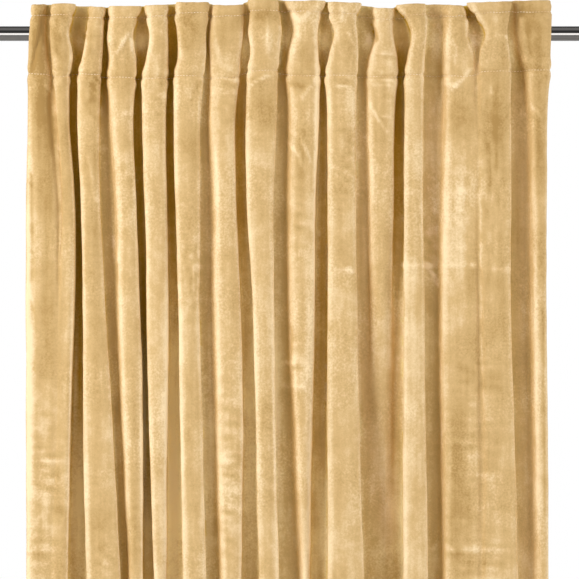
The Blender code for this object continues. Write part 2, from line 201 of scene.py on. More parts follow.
# Creases pressed into the cloth, drawn on its front: their points (x, z), half-width and height,
# all in mm, with a height below zero for a trough
CREASES = [
    # First fold: the long fold beside its edge, and pulls below the lower stitches
    ([(-365, 38), (-371, 18), (-373, -5), (-382, -36), (-389, -60)], 3.5, -2.2),
    ([(-368, -78), (-356, -93)], 2.4, 1.0),
    ([(-389, -87), (-381, -80)], 2.2, 0.8),
    ([(-388, -215), (-387, -320), (-386, -445)], 2.4, -1.8),
    ([(-364, 20), (-358, -64), (-355, -102), (-344, -252)], 3.5, 0.5),
    # Second and third folds, and the crumpled cloth between them
    ([(-352, -82), (-347, -160), (-342, -250), (-344, -350)], 2.6, 0.6),
    ([(-332, -2), (-329, -20), (-330, -42)], 2.6, 0.8),
    ([(-312, 15), (-305, -2)], 2.6, 1.2),
    ([(-291, -70), (-284, -77)], 2.0, -0.9),
    ([(-298, -78), (-291, -87)], 2.0, -0.9),
    ([(-302, -185), (-296, -215), (-290, -252)], 3.2, 0.8),
    # Fourth fold: a pull towards its stitches
    ([(-243, -3), (-251, -20), (-259, -31)], 2.8, 1.2),
    ([(-238, -14), (-235, -38)], 3.0, 1.2),
    ([(-263, -310), (-259, -346)], 3.4, 1.0),
    ([(-248, -121), (-237, -122)], 2.2, 1.0),
    # Sixth and seventh folds
    ([(-134, -76), (-140, -88), (-147, -103)], 3.4, -1.0),
    ([(-161, 9), (-152, 3)], 2.4, 0.9),
    ([(-157, -355), (-137, -350)], 2.2, 1.1),
    ([(-142, -339), (-145, -386)], 2.2, 0.9),
    ([(-97, -71), (-80, -72)], 2.2, 0.9),
    ([(-98, -92), (-81, -90)], 2.2, 0.9),
    ([(-110, -12), (-104, -44)], 3.0, 0.8),
    # Eighth fold: pulls down from its stitches, and its pressed edge
    ([(-57, -79), (-44, -71), (-32, -66)], 2.6, 1.3),
    ([(-33, 20), (-31, -40)], 2.6, 0.6),
    ([(-18, 15), (-16, -46)], 2.4, 0.8),
    # Ninth fold
    ([(6, 26), (16, 16), (28, 27)], 2.6, 1.0),
    ([(41, -67), (25, -90), (19, -99)], 2.8, 1.4),
    ([(3, -78), (22, -85)], 5.0, -0.7),
    ([(3, -147), (18, -160), (32, -195)], 2.2, 1.0),
    ([(0, -166), (12, -180), (22, -206)], 2.2, 0.9),
    ([(-4, -498), (12, -495), (29, -500)], 2.6, 1.1),
    ([(-6, -533), (22, -531)], 2.6, 1.0),
    # Tenth fold, and the fold inside the valley beyond it
    ([(88, -2), (95, -18)], 2.6, 1.0),
    ([(79, 33), (79, 18)], 2.4, 0.7),
    ([(74, -74), (90, -75)], 3.8, -0.9),
    ([(72, -82), (85, -82)], 2.4, 1.0),
    ([(71, -357), (80, -354), (94, -359)], 2.6, 1.2),
    ([(73, -367), (90, -369)], 2.4, 0.8),
    ([(121, 15), (125, 2), (131, -12)], 3.2, -1.8),
    ([(118, 0), (125, -24)], 2.4, 1.0),
    # Eleventh fold: lines beside its stitches
    ([(140, -32), (154, -32)], 2.4, 0.8),
    ([(138, -104), (152, -104)], 2.2, 0.6),
    ([(119, -105), (132, -130), (147, -152)], 2.2, 1.0),
    ([(139, -126), (150, -127)], 2.2, 0.6),
    ([(124, -73), (156, -73)], 2.0, 0.8),
    ([(124, -79), (150, -80)], 2.0, 0.7),
    # Twelfth fold and the flat valley beyond it
    ([(173, 22), (182, 3)], 2.6, -1.0),
    ([(226, 10), (230, -2)], 2.4, 1.2),
    ([(227, -6), (227, -22)], 2.4, 0.8),
    ([(211, -353), (218, -364), (223, -378)], 2.6, 1.2),
    # Thirteenth fold: the wide panel, with the lines where it lay folded
    ([(233, -72), (259, -72)], 2.0, 0.8),
    ([(233, -77), (250, -80)], 2.0, 0.8),
    ([(266, 16), (266, -4)], 2.4, 0.9),
    ([(246, -14), (250, -30), (246, -48)], 2.6, 0.7),
    ([(271, -57), (258, -72), (245, -84)], 2.8, 1.3),
    ([(172, -351), (228, -352), (282, -352)], 2.6, 0.9),
    ([(282, -354), (331, -357)], 2.6, 0.5),
    ([(226, -360), (282, -361)], 4.0, -0.5),
    ([(211, -775), (236, -772), (248, -780)], 2.8, 0.9),
    ([(262, -777), (338, -780)], 2.6, 0.6),
    ([(270, -793), (322, -797)], 3.2, -0.7),
    # Fourteenth and fifteenth folds
    ([(287, -230), (288, -420), (292, -560)], 2.4, 0.8),
    ([(315, -6), (324, -8)], 2.4, 0.9),
    ([(278, -85), (284, -78)], 2.4, 0.8),
    ([(302, -81), (302, -92)], 2.4, 0.8),
    ([(350, 18), (352, -12), (355, -42)], 3.2, 1.2),
    ([(366, -112), (378, -128)], 2.6, 1.0),
    ([(370, -330), (371, -560), (374, -760)], 2.0, 0.4),
    ([(380, -420), (383, -720)], 2.0, -0.6),
]

# What a crease's height is multiplied by, and how much lighter each mm of it makes the pile, a painted
# highlight on ridges and painted shade in troughs
CREASE_GAIN = 1.6
CREASE_PAINTED_LIGHT = 0.8

# The creases waver by this much, in waves of this size, in mm, and fade in and out along the way
CREASE_WAVER = 2.0
CREASE_WAVES = (9.0, 9.0)
DRIFT_SEEDS = (11, 12)
# Their strength: its mean and how much it varies, the size of its waves in mm, and its seed
STRENGTH = (0.85, 0.9)
STRENGTH_WAVES = (27.0, 27.0)
STRENGTH_SEED = 13

# How squarely the cloth faces the room where creases and patches begin to show, and show in full
FACING = (0.15, 0.65)

# Patches where the pile lies another way, and patches of painted highlight and painted shade: middle and
# half-size (x, z) in mm, and how much lighter
BRUSHED_AND_PAINTED_LIGHT = [
    # First fold: a painted highlight along its outer edge, and painted shade where it turns in under the
    # second one
    ((-389, -520), (6, 300), 0.9),
    ((-380, -4), (18, 60), -1.3),
    ((-376, -105), (18, 45), -0.9),
    ((-360, -140), (10, 70), -0.9),
    ((-362, -400), (14, 110), -0.7),
    ((-366, -210), (16, 80), -0.5),
    ((-362, -700), (20, 120), 0.2),
    # Second to fifth folds
    ((-345, 5), (16, 45), -0.5),
    ((-338, -170), (10, 90), -0.6),
    ((-305, 10), (12, 40), -0.7),
    ((-300, -85), (16, 35), -0.5),
    ((-296, -320), (13, 230), -0.4),
    ((-254, 14), (18, 24), -0.6),
    ((-246, -50), (14, 40), -0.3),
    ((-232, -740), (14, 120), -0.4),
    ((-187, -560), (14, 160), 0.5),
    # Sixth to eighth folds
    ((-148, 10), (22, 40), -0.7),
    ((-150, -170), (18, 40), -0.5),
    ((-92, 0), (20, 30), -0.4),
    ((-98, -52), (10, 18), 0.4),
    ((-42, 24), (24, 14), -0.9),
    ((-53, -74), (13, 10), -0.6),
    ((-36, -115), (20, 45), -0.7),
    ((-20, -600), (6, 260), 0.8),
    # Ninth to twelfth folds
    ((20, -82), (18, 12), -0.3),
    ((22, -190), (14, 150), -0.4),
    ((2, -490), (8, 60), -0.6),
    ((29, -500), (6, 280), 0.8),
    ((92, -100), (8, 30), 0.6),
    ((136, -170), (14, 60), -0.4),
    ((182, 18), (12, 24), -0.6),
    ((188, -420), (12, 300), 0.3),
    # Thirteenth to fifteenth folds
    ((252, 0), (18, 40), -0.4),
    ((255, -120), (26, 40), -0.6),
    ((250, -290), (24, 64), 0.55),
    ((276, -380), (10, 90), -0.4),
    ((250, -640), (30, 160), -0.5),
    ((308, -140), (16, 60), -0.8),
    ((305, -480), (22, 160), -0.4),
    ((366, -10), (40, 60), -0.9),
    ((352, -30), (9, 80), -0.5),
    ((370, -150), (18, 60), -0.6),
    ((377, -330), (12, 230), -0.4),
    ((343, -330), (8, 230), -0.4),
    # Valleys that open out lower down, lightened with painted light
    ((-319, -700), (13, 110), 1.1),
    ((-325, -520), (4, 100), 0.9),
    ((-221, -600), (6, 110), 1.1),
    ((-215, -760), (8, 90), 0.9),
    ((-174, -660), (10, 210), 1.2),
    ((-118, -620), (10, 200), 0.5),
    ((-61, -640), (10, 190), 0.9),
    ((40, -230), (3.5, 260), 1.4),
    ((46, -740), (12, 90), 0.7),
    ((157, -740), (16, 80), 0.7),
    ((160, -420), (7, 150), 0.2),
    ((107, -310), (7, 110), -0.5),
    # Painted highlight on the cloth pressed forward over the rod inside the valleys, and painted shade
    # above it
    ((-314, -14), (8, 16), 0.9),
    ((-321, 10), (6, 7), -1.0),
    ((-223, -14), (9, 14), 1.0),
    ((-223, 11), (8, 8), -1.0),
    ((-68, -22), (6, 28), 0.9),
    ((-1, -14), (7, 15), 1.0),
    ((-8, 14), (5, 8), -0.8),
    ((53, -12), (8, 14), 0.9),
    ((50, 12), (6, 8), -0.9),
    ((119, -16), (7, 18), 0.9),
    ((168, 18), (7, 8), -0.8),
    ((220, -20), (9, 24), 0.8),
    ((275, -12), (7, 20), 0.9),
    ((337, -20), (7, 28), 1.0),
]

# Patches crushed into small ripples: middle, half-size and the ripples' size (x, z), all in mm,
# and how strong they are
RIPPLED = [
    ((-92, -660), (20, 130), (30, 11), 1.0),
    ((-368, -690), (26, 120), (30, 10), 1.3),
    ((-282, -785), (16, 30), (16, 9), 0.8),
    ((-96, -95), (16, 40), (20, 9), 0.7),
    ((-150, -350), (16, 60), (9, 14), 0.8),
    ((-190, -90), (16, 40), (18, 8), 0.6),
    ((82, -190), (16, 60), (12, 9), 0.8),
    ((16, -300), (16, 50), (14, 10), 0.7),
    ((12, -500), (18, 40), (22, 8), 0.7),
    ((254, -260), (24, 90), (9, 9), 0.5),
    ((300, -210), (20, 120), (8, 26), 0.7),
    ((280, -600), (46, 160), (26, 10), 0.6),
    ((280, -790), (50, 40), (34, 12), 0.8),
    ((212, -300), (12, 90), (12, 9), 0.8),
    ((-250, -200), (14, 60), (14, 18), 0.6),
    ((-356, -20), (24, 50), (8, 16), 0.7),
    ((-292, -100), (14, 40), (10, 14), 0.7),
    ((140, -60), (16, 30), (18, 7), 0.6),
    ((360, -60), (24, 70), (10, 22), 0.6),
]
# The ripples' height, how much lighter their crests are as painted highlight, darker troughs as painted
# shade, and the least share of a patch with them
RIPPLE_HEIGHT = 0.0010
RIPPLE_PAINTED_LIGHT = 1.2
LEAST_SHARE = 0.05

# Painted shade, darker and richer in colour, where the folds on both sides shut the cloth in: from this
# angle that they fill to this one, in radians, and less of it where its tone is light, by this share
PAINTED_SHADE_ANGLES = (1.3, 2.9)
PAINTED_SHADE_LIGHTER_CUT = 0.3

# The pile's colours, from its darkest tone to its lightest, on the folds' fronts, and as painted shade in
# the valleys and in the deep slots, and how much painted shade the cloth has where the last two come in
FRONT_COLOURS = [
    (0.0, (0.43, 0.258, 0.085)),
    (0.2, (0.54, 0.346, 0.135)),
    (0.5, (0.675, 0.455, 0.205)),
    (1.0, (0.97, 0.76, 0.47)),
]
VALLEY_SHADE_COLOURS = [(0.0, (0.50, 0.340, 0.115)), (0.5, (0.67, 0.475, 0.20)), (1.0, (0.96, 0.80, 0.45))]
SLOT_SHADE_COLOURS = [(0.0, (0.45, 0.252, 0.012)), (0.5, (0.64, 0.395, 0.030)), (1.0, (0.88, 0.64, 0.16))]
VALLEY_SHADE_LIMITS = (0.03, 0.38)
SLOT_SHADE_LIMITS = (0.55, 1.00)

# Along a fold's edges a painted highlight lightens the pile, in full beside a valley this deep, wider at
# the left edge:
# (how far in, half-width) in mm, at its left edge and at its right one, and how much lighter
RIM_LIGHT_LEFT = (1.5, 4.5)
RIM_LIGHT_RIGHT = (0.5, 2.0)
RIM_LIGHT_TONE = 0.70
RIM_LIGHT_DEPTH = 0.018

# Soft waves of the whole cloth: (size across and down it, height)
WAVES = [((0.090, 0.260), 0.0018), ((0.034, 0.090), 0.0010), ((0.019, 0.028), 0.0005)]

# The heading is held flatter: over these heights the waves fade to this share
WAVES_FADE = (LOWER_ROW - 0.060, LOWER_ROW)
WAVES_LEFT = 0.35

# The deepest relief: at the rows of stitches, where the tape is close behind, and beyond this reach
DEEPEST_AT_ROWS = 0.0009
DEEPEST = 0.0035
HELD_REACH = 0.014

# The stitches pull a groove into the cloth, which puffs up this far away from them, and puckers
GROOVE_DEPTH = 0.0012
GROOVE_HALF_WIDTH = 0.0022
PUFF_HEIGHT = 0.0011
PUFF_AWAY = 0.009
PUFF_HALF_WIDTH = 0.006
PUCKER_HEIGHT = 0.0006
PUCKER_PITCH = 0.012
PUCKER_REACH = 0.012

# The puckers are uneven: their turns swing by these radians, at this share of the turns, from a
# start that each row's height gives, in radians a metre
PUCKER_SWING = 1.7
SWING_TURNS = 0.23
SWING_START = 90

# The rows of stitches waver: (size across and down the cloth, height)
WAVER = [((0.040, 0.15), 0.0016), ((0.013, 0.15), 0.0007)]

# Stitches of cream thread, which slant by this much to and fro, with these radians a metre
STITCH_PITCH = 0.0046
STITCH_LENGTH = 0.0031
STITCH_SLANT = 0.10
SLANT_TURNS = 900
THREAD_RADIUS = 0.00045
STITCH_SIDES = 6
STITCH_LIFT = 0.0001
HEM_ROW = BOTTOM + BOTTOM_HEM_HEIGHT

# A stitch's rings: how far along its length, and how thick and how high in radii of the thread
STITCH_RINGS = [(-0.5, 0.35, -0.6), (-0.34, 1.0, 0.2), (0.34, 1.0, 0.2), (0.5, 0.35, -0.6)]

# Noises of the velvet's pile: grains in a metre, detail, and stretch along each axis
GRAINS = {
    "patches": (17, 2.0),
    "streaks": (95, 2.0, (1.0, 1.0, 0.10)),
    "bands": (45, 2.0, (1.0, 1.0, 0.04)),
    "mottle": (80, 3.0),
    "specks": (320, 2.0),
    "pile": (900, 1.0),
}
# The specks count again where the cloth is crushed: another noise, between these two values of it
CRUSHED = (13, 2.0)
CRUSHED_LIMITS = (0.42, 0.60)

# How much each of them, and the creases, patches and edges with their painted highlights and shade, change
# the pile's tone and its bumps
PILE_TONE = [("patches", 0.55), ("streaks", 0.50), ("bands", 0.35), ("mottle", 0.35)]
PILE_TONE += [("specks", 0.22), ("crushed", 0.38), ("pile", 0.25), ("patches_and_painted_light", 0.50)]
PILE_BUMPS = [("mottle", 0.7), ("specks", 0.35), ("crushed", 0.7), ("pile", 0.25)]
PILE_BUMP_DEPTH = 0.0012
SHEEN_TINT = (1.0, 0.80, 0.42, 1.0)

# Plain weaves: dark and light colour, the scale of the threads' waves, and the depth of their bumps
BACK_WEAVE = ((0.46, 0.31, 0.14), (0.62, 0.44, 0.22), 260, 0.0003)
TAPE_WEAVE = ((0.68, 0.61, 0.48), (0.88, 0.83, 0.72), 180, 0.0004)

# Colours of the thread, the metal and the floor, as (place between darkest and lightest, colour)
THREAD_COLOURS = [(0.2, (0.74, 0.53, 0.27)), (0.8, (0.95, 0.84, 0.62))]
METAL_COLOURS = [(0.3, (0.190, 0.180, 0.172)), (0.7, (0.225, 0.217, 0.208))]
METAL_ROUGHNESS = 0.08
FLOOR_COLOURS = [(0.3, (0.78, 0.775, 0.76)), (0.7, (0.82, 0.815, 0.80))]

# The camera sees this width at the front of the folds, with this height in the middle
SEEN_WIDTH = 0.8685
SEEN_CENTRE_Z = -0.3866
FOLD_FRONT_Y = -0.043
CAMERA_DISTANCE = 6.0
FARTHEST_SEEN = 100.0
SENSOR_WIDTH_MM = 36.0

# Softboxes round this point: bearing from straight in front and height, in degrees, distance,
# width and height, and watts
AIM = (0.0, 0.0, -0.45)
Softbox = namedtuple("Softbox", "name bearing up distance size watts")
SOFTBOXES = [
    Softbox("key", -54, 14, 3.2, (1.4, 2.6), 78),
    Softbox("fill", 40, 6, 3.2, (1.4, 2.6), 22),
    Softbox("right_rim", 74, 4, 3.2, (0.8, 2.6), 28),
    Softbox("above", 0, 75, 3.2, (4.0, 3.0), 17),
    Softbox("behind_left", -150, 12, 3.6, (2.0, 2.6), 46),
    Softbox("behind_right", 150, 12, 3.6, (2.0, 2.6), 34),
]
# The long box that the rod mirrors as its bright line
ROD_LINE = Softbox("rod_line", 0, 1, 2.6, (2.6, 1.1), 40)
# The room's own soft light, and how bright it looks in the polished rod
AMBIENT = 0.42
MIRRORED_ROOM = 0.13

FLOOR_GAP = 0.012
FLOOR_SIDE = 18.0


def curve_through(knots, values, at):
    """Values read at the places given, on a smooth curve that passes through every knot."""
    slopes = np.gradient(values, knots, axis=0)
    left = np.clip(np.searchsorted(knots, at) - 1, 0, len(knots) - 2)
    span = knots[left + 1] - knots[left]
    t = np.clip((at - knots[left]) / span, 0.0, 1.0)
    if values.ndim > 1:
        span, t = span[:, None], t[:, None]
    start = (1 + 2 * t) * (1 - t) ** 2 * values[left] + t * (1 - t) ** 2 * span * slopes[left]
    end = t**2 * (3 - 2 * t) * values[left + 1] - t**2 * (1 - t) * span * slopes[left + 1]
    return start + end


def edges_at(z):
    """Left and right edges of the folds at one height; they hang straight below the lowest station."""
    rows = np.array([drop + heading for drop, heading in zip(DROP, HEADING)], float) * MM
    knots = rows.transpose(1, 0, 2).reshape(len(STATIONS), -1)
    edges = curve_through(STATIONS, knots, np.clip([z], STATIONS[0], STATIONS[-1]))
    return edges.reshape(len(FOLDS), 2).T


def depth_column(name, z):
    """A column that has a value at each depth station, read at one height."""
    rows = np.array([getattr(fold, name) for fold in FOLDS], float).T * MM
    return np.array([np.interp(z, DEPTH_STATIONS, heights) for heights in rows.T])


def wall_foot(foot, tuck, width, gap, depth):
    """How far a side wall's foot lies outside the fold's edge, for a fold and a valley this wide."""
    shallow = max(0.0, 1.0 - depth / DEEP_VALLEY)
    lean = foot if foot > 0 else foot * tuck * (1.0 - shallow)
    tucked = max(lean * MM, min(0.0, LEAST_NECK - width) / 2)
    return min(tucked + shallow * WIDEST_FOOT_SHARE * gap, WIDEST_FOOT_SHARE * gap)


def walls(edge, foot, front, floor):
    """Shoulder, wall and foot of one side of a fold, from its front back to the valley's floor."""
    depth = floor - front
    shoulder = front + min(SHOULDER_DROP, SHOULDER_SHARE * depth)
    bottom = floor - FOOT_SHARE * depth
    return [(edge, shoulder), (edge + WALL_SHARE * foot, (shoulder + bottom) / 2), (edge + foot, bottom)]


def section(z, deepening):
    """Points (x, y) along the cloth at one height, y being measured back from the foremost front."""
    left, right = edges_at(z)
    front = -depth_column("stands", z) * deepening
    floor = -depth_column("valley_raised", z) * deepening
    width = right - left
    tuck = np.clip((LOWER_ROW - z) / (LOWER_ROW - TUCKED_BELOW), 0.0, 1.0)
    points = [(left[0] + SHOULDER_DROP / 2, front[0] + SIDE_RETURN), (left[0], front[0] + SHOULDER_DROP)]
    for k, fold in enumerate(FOLDS):
        points += [(left[k] + share * width[k], front[k]) for share in FRONT_POINTS]
        if fold is FOLDS[-1]:
            break
        beyond = FOLDS[k + 1]
        gap = left[k + 1] - right[k]
        bed = max(floor[k], front[k], front[k + 1])
        near = wall_foot(fold.right_foot, tuck, width[k], gap, bed - front[k])
        far = wall_foot(beyond.left_foot, tuck, width[k + 1], gap, bed - front[k + 1])
        points += walls(right[k], near, front[k], bed)
        points.append(((right[k] + near + left[k + 1] - far) / 2, bed))
        points += walls(left[k + 1], -far, front[k + 1], bed)[::-1]
    shoulder, back = front[-1] + SHOULDER_DROP, front[-1] + SIDE_RETURN
    points += [(right[-1], shoulder), (right[-1] - SHOULDER_DROP / 2, back)]
    points = np.array(points)
    points[:, 1] -= points[:, 1].min()
    return points


def distances(points):
    """How far along a line each of its points lies."""
    return np.append(0.0, np.cumsum(np.linalg.norm(np.diff(points, axis=0), axis=1)))


def smooth(points, places):
    """A smooth curve through the points, read at places that count along them."""
    knots = distances(points)
    return curve_through(knots, points, np.interp(places, np.arange(len(points)), knots))


def even_places(count):
    return np.linspace(0, count - 1, SAMPLES * (count - 1) + 1)


def mesh_places():
    """Places of the cloth's columns, closer together where a section bends."""
    gaps = [SIDE_GAP] + FOLD_GAPS * (len(FOLDS) - 1) + FOLD_GAPS[:3] + [SIDE_GAP]
    steps = [k + np.arange(count) / count for k, count in enumerate(gaps)]
    return np.concatenate(steps + [[len(gaps)]])


def gathered_section(z):
    """The section at one height whose own length is the width that the cloth was cut to."""
    shallow, deep = LEAST_DEEPENING, MOST_DEEPENING
    for _ in range(HALVINGS):
        deepening = (shallow + deep) / 2
        points = section(z, deepening)
        if distances(smooth(points, even_places(len(points))))[-1] < CLOTH_WIDTH:
            shallow = deepening
        else:
            deep = deepening
    return section(z, deepening)


def hitches(z, places, count):
    """How far each column of the cloth is hitched up at one height, smoothly from fold to fold."""
    middles = np.linspace(0, count - 1, len(FOLDS))
    hitch = np.array([fold.hitch for fold in FOLDS], float) * MM
    lower, upper = curve_through(middles, hitch, places).T
    lower_share = np.interp(z, [HITCH_ENDS, LOWER_ROW, UPPER_ROW], [0.0, 1.0, 0.0])
    return lower_share * lower + np.interp(z, [LOWER_ROW, UPPER_ROW], [0.0, 1.0]) * upper


def cloth_grid(rows, places=None):
    """The middle of the cloth: a point for each row and column."""
    sections = [gathered_section(z) for z in rows]
    count = len(sections[0])
    if places is None:
        places = np.arange(count, dtype=float)
    grid = np.zeros((len(rows), len(places), 3))
    for row, z, points in zip(grid, rows, sections):
        curve = smooth(points, places)
        row[:, 0] = curve[:, 0]
        row[:, 2] = z + hitches(z, places, count)
        level = np.clip(row[:, 2], FRONT_HEIGHTS[0], FRONT_HEIGHTS[-1])
        row[:, 1] = curve[:, 1] + curve_through(FRONT_HEIGHTS, FRONT_Y, level)
    return grid


def unit(vectors):
    return vectors / np.linalg.norm(vectors, axis=-1, keepdims=True)


def mean_steps(grid, axis):
    """Directions along one axis of a grid, each the mean of the steps on its two sides."""
    steps = unit(np.diff(grid, axis=axis))
    first, last = np.take(steps, [0], axis=axis), np.take(steps, [-1], axis=axis)
    return np.concatenate([first, steps], axis=axis) + np.concatenate([steps, last], axis=axis)


def backward(grid):
    """Unit vectors that point out of the back of a sheet whose rows run downwards."""
    return unit(np.cross(mean_steps(grid, 1), mean_steps(grid, 0)))


def row_heights():
    """Heights of the cloth's rows, from the header's edge to the bottom edge."""
    heights = [HEADER_TOP]
    for down_to, step in ROW_STEPS:
        count = max(1, round((heights[-1] - down_to) / step))
        heights += list(np.linspace(heights[-1], down_to, count + 1)[1:])
    return np.array(heights)


def flat_places(grid):
    """How far along the cloth's width each point lies, as on the flat cloth."""
    steps = np.linalg.norm(np.diff(grid, axis=1), axis=2)
    return np.concatenate([np.zeros((len(grid), 1)), np.cumsum(steps, axis=1)], axis=1)


def soft_step(values, low, high):
    t = np.clip((values - low) / (high - low), 0.0, 1.0)
    return t * t * (3 - 2 * t)


def distance_from(path, across, up):
    """How far each point of a grid lies from a line drawn on the cloth's front."""
    nearest = np.full(across.shape, np.inf)
    for (x0, z0), (x1, z1) in zip(path, path[1:]):
        run, rise = x1 - x0, z1 - z0
        share = np.clip(((across - x0) * run + (up - z0) * rise) / (run**2 + rise**2), 0.0, 1.0)
        nearest = np.minimum(nearest, np.hypot(across - x0 - share * run, up - z0 - share * rise))
    return nearest


def patch_share(middle, size, across, up):
    """How much of a soft patch each point of a grid has."""
    (x, z), (width, length) = middle, size
    return np.exp(-(((across - x) / width) ** 2) - ((up - z) / length) ** 2)


def noise_over(across, up, size, seed):
    """Smooth noise about nought at each of the points, in patches of this size (x, z)."""
    across, up = np.broadcast_arrays(across, up)
    places = zip(across.ravel() / size[0], up.ravel() / size[1])
    return np.array([noise.noise((x, z, seed)) for x, z in places]).reshape(across.shape)


def creased(grid, facing):
    """Height that creases and patches give to each point of the cloth's front, and tone, with painted
    highlights and shade.
    """
    height, tone = np.zeros(grid.shape[:2]), np.zeros(grid.shape[:2])
    true_across, true_up = grid[:, :, 0] / MM, grid[:, :, 2] / MM
    drift = [noise_over(true_across, true_up, CREASE_WAVES, seed) for seed in DRIFT_SEEDS]
    across, up = true_across + CREASE_WAVER * drift[0], true_up + CREASE_WAVER * drift[1]
    mean, change = STRENGTH
    fading = mean + change * noise_over(true_across, true_up, STRENGTH_WAVES, STRENGTH_SEED)
    for path, width, ridge in CREASES:
        share = np.exp(-((distance_from(path, across, up) / width) ** 2)) * facing * fading
        height += share * ridge * CREASE_GAIN * MM
        # Painted highlight along ridges and painted shade along troughs
        tone += share * ridge * CREASE_PAINTED_LIGHT
    # Patches of pile lying another way, and patches of painted highlight and painted shade
    for middle, size, lighter in BRUSHED_AND_PAINTED_LIGHT:
        tone += lighter * patch_share(middle, size, across, up) * facing
    for middle, size, ripple, strength in RIPPLED:
        share = patch_share(middle, size, across, up) * facing
        inside = share > LEAST_SHARE
        crests = noise_over(across[inside], up[inside], ripple, middle[0]) * share[inside] * strength
        height[inside] += crests * RIPPLE_HEIGHT
        # Painted highlight on the ripples' crests and painted shade in their troughs
        tone[inside] += crests * RIPPLE_PAINTED_LIGHT
    return height, tone


def painted_rim_light(grid, heights, facing):
    """A painted highlight along the folds' edges, where the valley beside them is deep."""
    tone = np.zeros(grid.shape[:2])
    for i, z in enumerate(heights):
        left, right = edges_at(z)
        stands, raised = depth_column("stands", z), depth_column("valley_raised", z)
        across = grid[i, :, 0, None]
        beside_left = stands - np.append(0.0, raised[:-1])
        beside_right = stands - np.append(raised[:-1], 0.0)
        for edges, side, depth, (inside, width) in (
            (left, 1, beside_left, RIM_LIGHT_LEFT),
            (right, -1, beside_right, RIM_LIGHT_RIGHT),
        ):
            beyond = (across - edges) * side / MM - inside
            share = np.clip(depth / RIM_LIGHT_DEPTH, 0.0, 1.0) ** 2
            tone[i] += (share * np.exp(-((beyond / width) ** 2))).max(axis=1)
    return RIM_LIGHT_TONE * tone * facing


def waved(along, heights):
    """Height that the cloth's soft waves give to each of its points."""
    heights = heights[:, None]
    total = sum(height * noise_over(along, heights, size, k) for k, (size, height) in enumerate(WAVES))
    return total * np.interp(heights, WAVES_FADE, (1.0, WAVES_LEFT))


def stitched(along, heights):
    """Height that the rows of stitches take from the cloth, and give to it as puffs and puckers."""
    total = np.zeros(along.shape)
    for row in (UPPER_ROW, LOWER_ROW, HEM_ROW):
        beyond = (heights - row)[:, None]
        total -= GROOVE_DEPTH * np.exp(-((beyond / GROOVE_HALF_WIDTH) ** 2))
        total += PUFF_HEIGHT * np.exp(-(((np.abs(beyond) - PUFF_AWAY) / PUFF_HALF_WIDTH) ** 2))
        turns = along / PUCKER_PITCH * 2 * np.pi
        ripple = np.sin(turns + PUCKER_SWING * np.sin(turns * SWING_TURNS + row * SWING_START))
        total += PUCKER_HEIGHT * ripple * np.exp(-((beyond / PUCKER_REACH) ** 2))
    return total


def wavered(along, heights):
    """How far each point of the heading is lifted where its rows of stitches waver."""
    heights = heights[:, None]
    share = np.interp(heights, [HITCH_ENDS, LOWER_ROW], [0.0, 1.0])
    return sum(share * height * noise_over(along, heights, size, size[0]) for size, height in WAVER)


def relief(grid, along, heights):
    """Height of the cloth's fine relief at each point of its grid, and the tone of its pile, with painted
    highlights and shade.
    """
    facing = soft_step(backward(grid)[:, :, 1], *FACING)
    height, tone = creased(grid, facing)
    # Painted highlights along the folds' edges
    tone += painted_rim_light(grid, heights, facing)
    height += waved(along, heights) + stitched(along, heights)
    beyond = np.min([np.abs(heights - UPPER_ROW), np.abs(heights - LOWER_ROW)], axis=0)
    deepest = np.interp(beyond, [0.0, HELD_REACH], [DEEPEST_AT_ROWS, DEEPEST])
    return np.maximum(height, -deepest[:, None]), tone


def add_object(name, data, materials=()):
    obj = bpy.data.objects.new(name, data)
    for material in materials:
        obj.data.materials.append(material)
    bpy.context.scene.collection.objects.link(obj)
    return obj


def border(indices):
    """The border of a grid of indices, once round: top, right side, bottom and left side."""
    return np.concatenate([indices[0, :-1], indices[:-1, -1], indices[-1, :0:-1], indices[:0:-1, 0]])


def quads(indices):
    """The faces of a grid of indices, which face the room where its rows run downwards."""
    corners = (indices[:-1, :-1], indices[1:, :-1], indices[1:, 1:], indices[:-1, 1:])
    return np.stack(corners, axis=-1).reshape(-1, 4).tolist()


def band(first, second):
    """The faces between two closed loops of indices of the same count."""
    return np.stack([first, np.roll(first, -1), np.roll(second, -1), second], axis=-1).tolist()


def closing_band(rim, kept, far):
    """The faces between a loop of indices and a coarser one, which keeps some of its places."""
    ends = np.append(kept[1:], kept[0] + len(rim))
    return [
        [rim[k % len(rim)] for k in range(start, end + 1)] + [far[(n + 1) % len(far)], far[n]]
        for n, (start, end) in enumerate(zip(kept, ends))
    ]


def add_sheet(name, grid, thickness, materials, back_step=1):
    """A closed sheet about a grid of points: a rounded border, and a coarser back of the last material."""
    half = backward(grid) * thickness[:, :, None] / 2
    across, down = unit(mean_steps(grid, 1)), unit(mean_steps(grid, 0))
    outward = np.zeros_like(grid)
    outward[:, 0] -= across[:, 0]
    outward[:, -1] += across[:, -1]
    outward[0] -= down[0]
    outward[-1] += down[-1]
    rows = np.unique(np.append(np.arange(0, len(grid), back_step), len(grid) - 1))
    near = np.arange(grid.shape[0] * grid.shape[1]).reshape(grid.shape[:2])
    far = near.size + np.arange(near[rows].size).reshape(near[rows].shape)
    edge = border(near)
    rim = near.size + far.size + np.arange(len(edge))
    kept = np.flatnonzero(np.isin(edge, border(near[rows])))
    rounded = (grid + outward * thickness[:, :, None] / 2).reshape(-1, 3)[edge]
    points = np.concatenate([(grid - half).reshape(-1, 3), (grid + half)[rows].reshape(-1, 3), rounded])
    front, back = quads(near), [face[::-1] for face in quads(far)]
    faces = front + band(edge, rim) + closing_band(rim, kept, border(far)) + back
    mesh = bpy.data.meshes.new(name)
    mesh.from_pydata(points, [], faces)
    sides = np.zeros(len(faces), np.int32)
    sides[-len(back):] = len(materials) - 1
    mesh.polygons.foreach_set("material_index", sides)
    mesh.shade_smooth()
    mesh.update()
    return add_object(name, mesh, materials)


